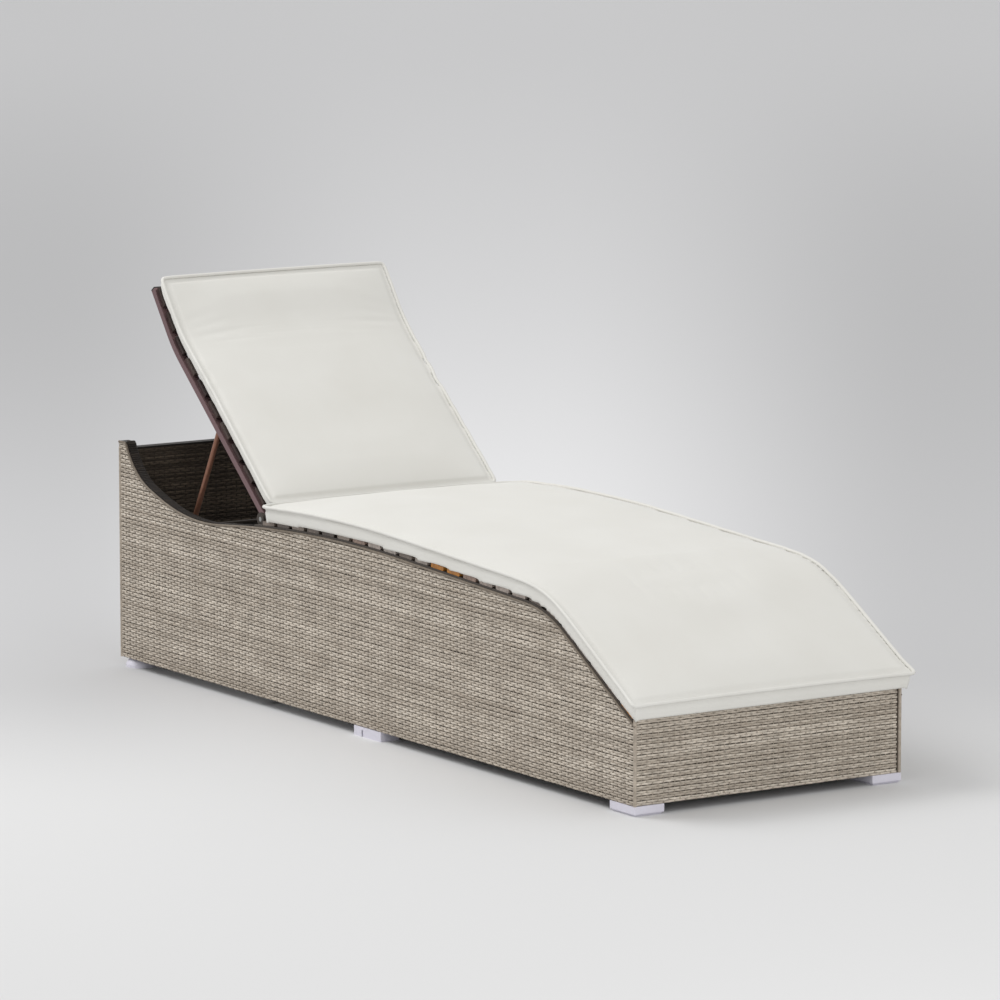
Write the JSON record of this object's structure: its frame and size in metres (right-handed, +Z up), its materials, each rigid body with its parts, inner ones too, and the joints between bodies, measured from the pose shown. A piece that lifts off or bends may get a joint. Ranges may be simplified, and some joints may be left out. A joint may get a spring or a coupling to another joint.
{
  "type": "sun lounger",
  "caption": "Woven box sun lounger with a wave-shaped top, slatted seat, boxed cushions and a hinged backrest held by a prop on notched racks.",
  "frame": {"origin": "on the floor, below the middle of the overall length and width", "axes": "+X towards the foot end, +Y to the right side of someone lying on it facing the foot end, +Z up"},
  "size_m": [2.0163, 0.6674, 0.8673],
  "materials": {
    "woven_strand": "flat extruded resin strand, woven",
    "dark_weave": "flat extruded resin strand, woven, dark brown",
    "slat_wood": "oiled hardwood",
    "cushion_cover": "smooth off-white outdoor cloth over foam",
    "foot_plastic": "moulded pale plastic",
    "prop_finish": "copper-brown coat",
    "dark_plastic": "moulded dark nylon",
    "pin_steel": "plain steel",
    "bronze_coat": "satin bronze coat",
    "frame_coat": "dark brown powder coat"
  },
  "bodies": {
    "base": {"bottom_rail_left": "frame_coat", "bottom_rail_right": "frame_coat", "foot_bottom_rail": "frame_coat", "foot_panel": "woven_strand", "foot_posts": "frame_coat", "foot_rim": "woven_strand", "foot_top_rail": "frame_coat", "front_foot_left": "foot_plastic", "front_foot_right": "foot_plastic", "head_bottom_rail": "frame_coat", "head_panel": "woven_strand", "head_posts": "frame_coat", "head_rim": "woven_strand", "head_top_rail": "frame_coat", "hinge_bracket_left": "bronze_coat", "hinge_bracket_right": "bronze_coat", "hinge_cross_rail": "frame_coat", "hinge_pins": "pin_steel", "hinge_posts": "frame_coat", "hinge_washers": "dark_plastic", "knee_posts": "frame_coat", "middle_cross_rail": "frame_coat", "middle_foot_left": "foot_plastic", "middle_foot_right": "foot_plastic", "prop_rack_left": "dark_plastic", "prop_rack_right": "dark_plastic", "rear_foot_left": "foot_plastic", "rear_foot_right": "foot_plastic", "seat_cross_bars": "frame_coat", "seat_cushion": "cushion_cover", "seat_middle_rail": "frame_coat", "seat_rail_left": "frame_coat", "seat_rail_right": "frame_coat", "seat_slats": "slat_wood", "side_panel_left": "woven_strand", "side_panel_right": "woven_strand", "side_rim_left": "woven_strand", "side_rim_right": "woven_strand", "top_rail_left": "frame_coat", "top_rail_right": "frame_coat", "well_lining_head": "dark_weave", "well_lining_left": "dark_weave", "well_lining_right": "dark_weave"},
    "backrest": {"backrest_bottom_bar": "bronze_coat", "backrest_cushion": "cushion_cover", "backrest_middle_bar": "bronze_coat", "backrest_rail_left": "bronze_coat", "backrest_rail_right": "bronze_coat", "backrest_slats": "slat_wood", "backrest_top_bar": "bronze_coat", "hinge_knuckles": "bronze_coat", "prop_lugs": "bronze_coat", "prop_pins": "pin_steel", "rail_end_plugs": "dark_plastic"},
    "prop": {"prop_foot_bar": "frame_coat", "prop_leg_left": "prop_finish", "prop_leg_right": "prop_finish", "prop_sleeves": "dark_plastic"}
  },
  "joints": [
    {"name": "backrest_recline", "type": "hinge", "parent": "base", "child": "backrest", "pos_m": [-0.448, 0, 0.394], "axis": [0, 1, 0], "range_deg": [-25.6, 18.2]},
    {"name": "prop_swing", "type": "hinge", "parent": "backrest", "child": "prop", "pos_m": [-0.66819, 0, 0.58273], "axis": [0, 1, 0], "range_deg": [-36.6, 51.4]}
  ],
  "couplings": [
    {"joint": "prop_swing", "follows": "backrest_recline", "ratio": -2}
  ]
}
